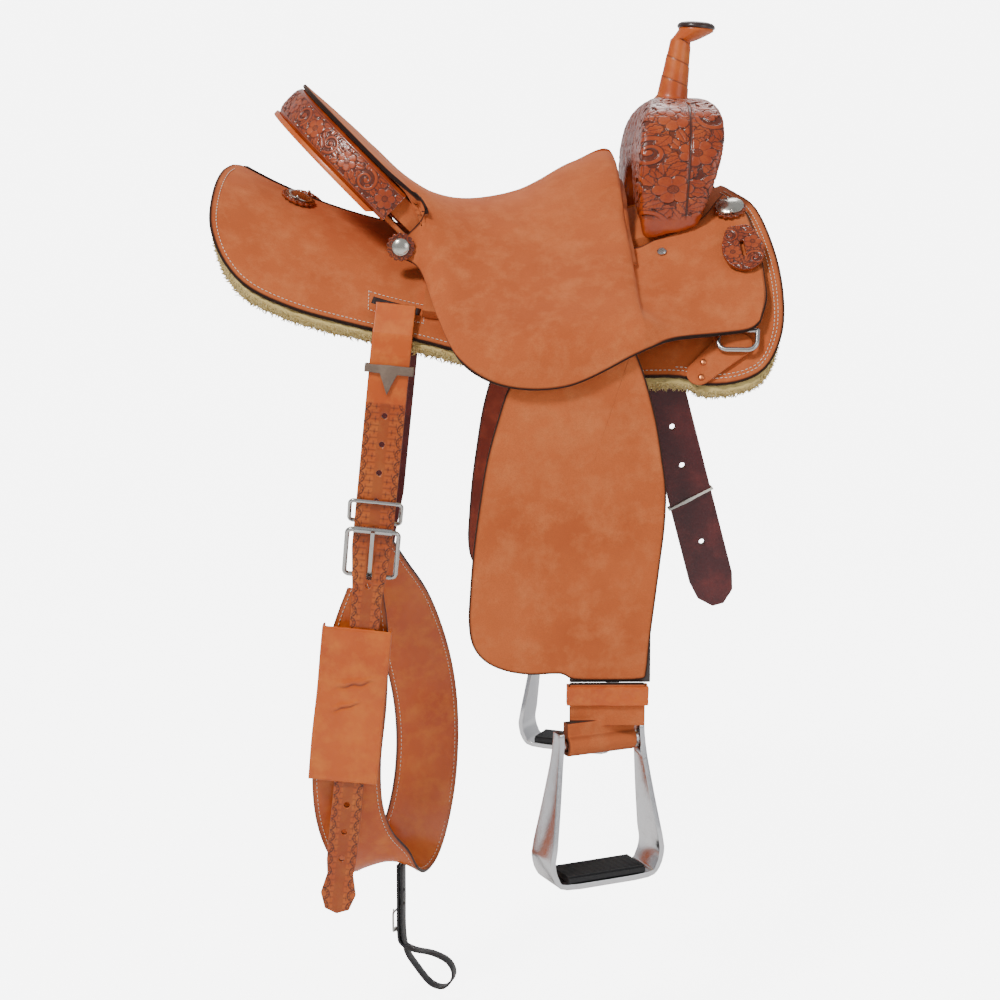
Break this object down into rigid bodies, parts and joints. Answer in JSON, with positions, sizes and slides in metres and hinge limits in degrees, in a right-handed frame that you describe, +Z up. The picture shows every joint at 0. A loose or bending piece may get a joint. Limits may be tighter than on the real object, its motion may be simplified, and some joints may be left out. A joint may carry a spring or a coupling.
{
  "type": "western saddle",
  "caption": "Roughout western saddle with tooled cantle and swell, horn, fenders with metal stirrups, conchos, billets and a hanging flank cinch.",
  "frame": {"origin": "top of the horse's back on the centre line, midway along the seat", "axes": "+X forwards to the horn, +Y to the rider's left, +Z up"},
  "size_m": [0.5991, 0.6016, 1.0774],
  "materials": {
    "tree_rawhide": "rawhide over wood",
    "steel": "dark painted steel",
    "fleece": "cream woolskin pile",
    "roughout_leather": "roughout, suede nap",
    "smooth_leather": "smooth oiled skirting leather",
    "tooled_leather": "floral tooled, antiqued, glossy",
    "dark_leather": "dark, glossy",
    "burgundy_leather": "oiled latigo, glossy",
    "lace_leather": "grey-brown lace",
    "black_leather": "black, semi-gloss",
    "silver": "polished silver plate",
    "copper": "copper rivet",
    "buckle_steel": "nickel-plated steel",
    "stirrup_aluminium": "polished aluminium",
    "tread_rubber": "black ribbed rubber",
    "string": "white cord"
  },
  "bodies": {
    "tree": {"bar_right": "tree_rawhide", "bar_left": "tree_rawhide", "fork": "tree_rawhide", "cantle_board": "tree_rawhide", "horn_core": "steel", "ground_seat": "steel", "fleece_right": "fleece", "fleece_left": "fleece", "skirt_right": "roughout_leather", "skirt_left": "roughout_leather", "seat_leather": "roughout_leather", "cantle_roll": "tooled_leather", "cantle_binding": "smooth_leather", "cantle_back": "roughout_leather", "swell_cover": "tooled_leather", "horn_wrap": "smooth_leather", "horn_cap": "dark_leather", "conchos_oval": "silver", "conchos_round": "silver", "rosettes": "tooled_leather", "latigo_keeper_right": "tooled_leather", "latigo_keeper_left": "tooled_leather", "jockey_screws": "buckle_steel", "rigging_plate_right": "roughout_leather", "rigging_plate_left": "roughout_leather", "rigging_rivets": "copper", "bar_loop_right": "smooth_leather", "bar_loop_left": "smooth_leather"},
    "fender_top_body_right": {"fender_top_right": "roughout_leather"},
    "fender_body_right": {"fender_right": "roughout_leather", "stirrup_leather_right": "dark_leather", "lower_wrap_right": "roughout_leather"},
    "keeper_band_body_right": {"keeper_band_right": "smooth_leather"},
    "stirrup_body_right": {"stirrup_right": "stirrup_aluminium", "stirrup_tread_right": "tread_rubber"},
    "rigging_dee_body_right": {"rigging_dee_right": "buckle_steel"},
    "fender_top_body_left": {"fender_top_left": "roughout_leather"},
    "fender_body_left": {"fender_left": "roughout_leather", "stirrup_leather_left": "dark_leather", "lower_wrap_left": "roughout_leather"},
    "keeper_band_body_left": {"keeper_band_left": "smooth_leather"},
    "stirrup_body_left": {"stirrup_left": "stirrup_aluminium", "stirrup_tread_left": "tread_rubber"},
    "rigging_dee_body_left": {"rigging_dee_left": "buckle_steel"},
    "rear_billet_body_right": {"rear_billet_right": "smooth_leather", "billet_lace_right": "lace_leather", "flank_cinch": "smooth_leather", "cinch_pocket": "smooth_leather", "upper_buckle": "buckle_steel", "lower_buckle": "buckle_steel"},
    "buckle_tongue_body": {"buckle_tongue": "buckle_steel"},
    "buckle_roller_body": {"buckle_roller": "buckle_steel"},
    "connector_body": {"connector_strap": "black_leather", "connector_buckle": "buckle_steel"},
    "connector_tongue_body": {"connector_tongue": "buckle_steel"},
    "rear_billet_body_left": {"rear_billet_left": "burgundy_leather", "billet_lace_left": "lace_leather"},
    "off_billet_body": {"off_billet": "burgundy_leather", "off_billet_tie": "string"}
  },
  "joints": [
    {"name": "fender_swing_right", "type": "hinge", "parent": "tree", "child": "fender_top_body_right", "pos_m": [0.078, -0.2525, -0.062], "axis": [0, 1, 0], "range_deg": [-14, 12]},
    {"name": "fender_fold_right", "type": "hinge", "parent": "fender_top_body_right", "child": "fender_body_right", "pos_m": [0.078, -0.2556, -0.178], "axis": [-1, 0, 0], "range_deg": [0, 50]},
    {"name": "keeper_slide_right", "type": "slide", "parent": "fender_body_right", "child": "keeper_band_body_right", "axis": [0, 0, -1], "range_m": [0, 0.016]},
    {"name": "stirrup_turn_right", "type": "hinge", "parent": "fender_body_right", "child": "stirrup_body_right", "pos_m": [0.099, -0.2525, -0.502], "axis": [0.9135, 0.4067, 0], "range_deg": [-25, 25]},
    {"name": "fender_swing_left", "type": "hinge", "parent": "tree", "child": "fender_top_body_left", "pos_m": [0.078, 0.2525, -0.062], "axis": [0, 1, 0], "range_deg": [-14, 12]},
    {"name": "fender_fold_left", "type": "hinge", "parent": "fender_top_body_left", "child": "fender_body_left", "pos_m": [0.078, 0.2556, -0.178], "axis": [1, 0, 0], "range_deg": [0, 50]},
    {"name": "keeper_slide_left", "type": "slide", "parent": "fender_body_left", "child": "keeper_band_body_left", "axis": [0, 0, -1], "range_m": [0, 0.016]},
    {"name": "stirrup_turn_left", "type": "hinge", "parent": "fender_body_left", "child": "stirrup_body_left", "pos_m": [0.099, 0.2525, -0.502], "axis": [0.9135, -0.4067, 0], "range_deg": [-25, 25]},
    {"name": "rigging_dee_turn_right", "type": "hinge", "parent": "tree", "child": "rigging_dee_body_right", "pos_m": [0.24, -0.228, -0.076], "axis": [-0.9796, 0.2011, 0], "range_deg": [0, 12]},
    {"name": "rigging_dee_turn_left", "type": "hinge", "parent": "tree", "child": "rigging_dee_body_left", "pos_m": [0.24, 0.228, -0.076], "axis": [0.9796, 0.2011, 0], "range_deg": [0, 12]},
    {"name": "rear_billet_swing_right", "type": "hinge", "parent": "tree", "child": "rear_billet_body_right", "pos_m": [-0.112, -0.205, -0.056], "axis": [0, 1, 0], "range_deg": [-2, 6]},
    {"name": "buckle_tongue_turn", "type": "hinge", "parent": "rear_billet_body_right", "child": "buckle_tongue_body", "pos_m": [-0.1414, -0.1972, -0.336], "axis": [0.9945, 0, -0.1045], "range_deg": [0, 8]},
    {"name": "buckle_roller_spin", "type": "hinge", "parent": "rear_billet_body_right", "child": "buckle_roller_body", "pos_m": [-0.1361, -0.2152, -0.2853], "axis": [0.9945, 0, -0.1045], "continuous": true},
    {"name": "connector_swing", "type": "hinge", "parent": "rear_billet_body_right", "child": "connector_body", "pos_m": [-0.112, -0.128, -0.677], "axis": [0, 1, 0], "range_deg": [-20, 20]},
    {"name": "connector_tongue_turn", "type": "hinge", "parent": "connector_body", "child": "connector_tongue_body", "pos_m": [-0.11906, -0.12577, -0.754], "axis": [-0.3007, -0.9537, 0], "range_deg": [0, 30]},
    {"name": "rear_billet_swing_left", "type": "hinge", "parent": "tree", "child": "rear_billet_body_left", "pos_m": [-0.112, 0.205, -0.056], "axis": [0, 1, 0], "range_deg": [-2, 6]},
    {"name": "off_billet_swing", "type": "hinge", "parent": "tree", "child": "off_billet_body", "pos_m": [0.158, -0.202, -0.11], "axis": [0, 1, 0], "range_deg": [-12, 8]}
  ]
}
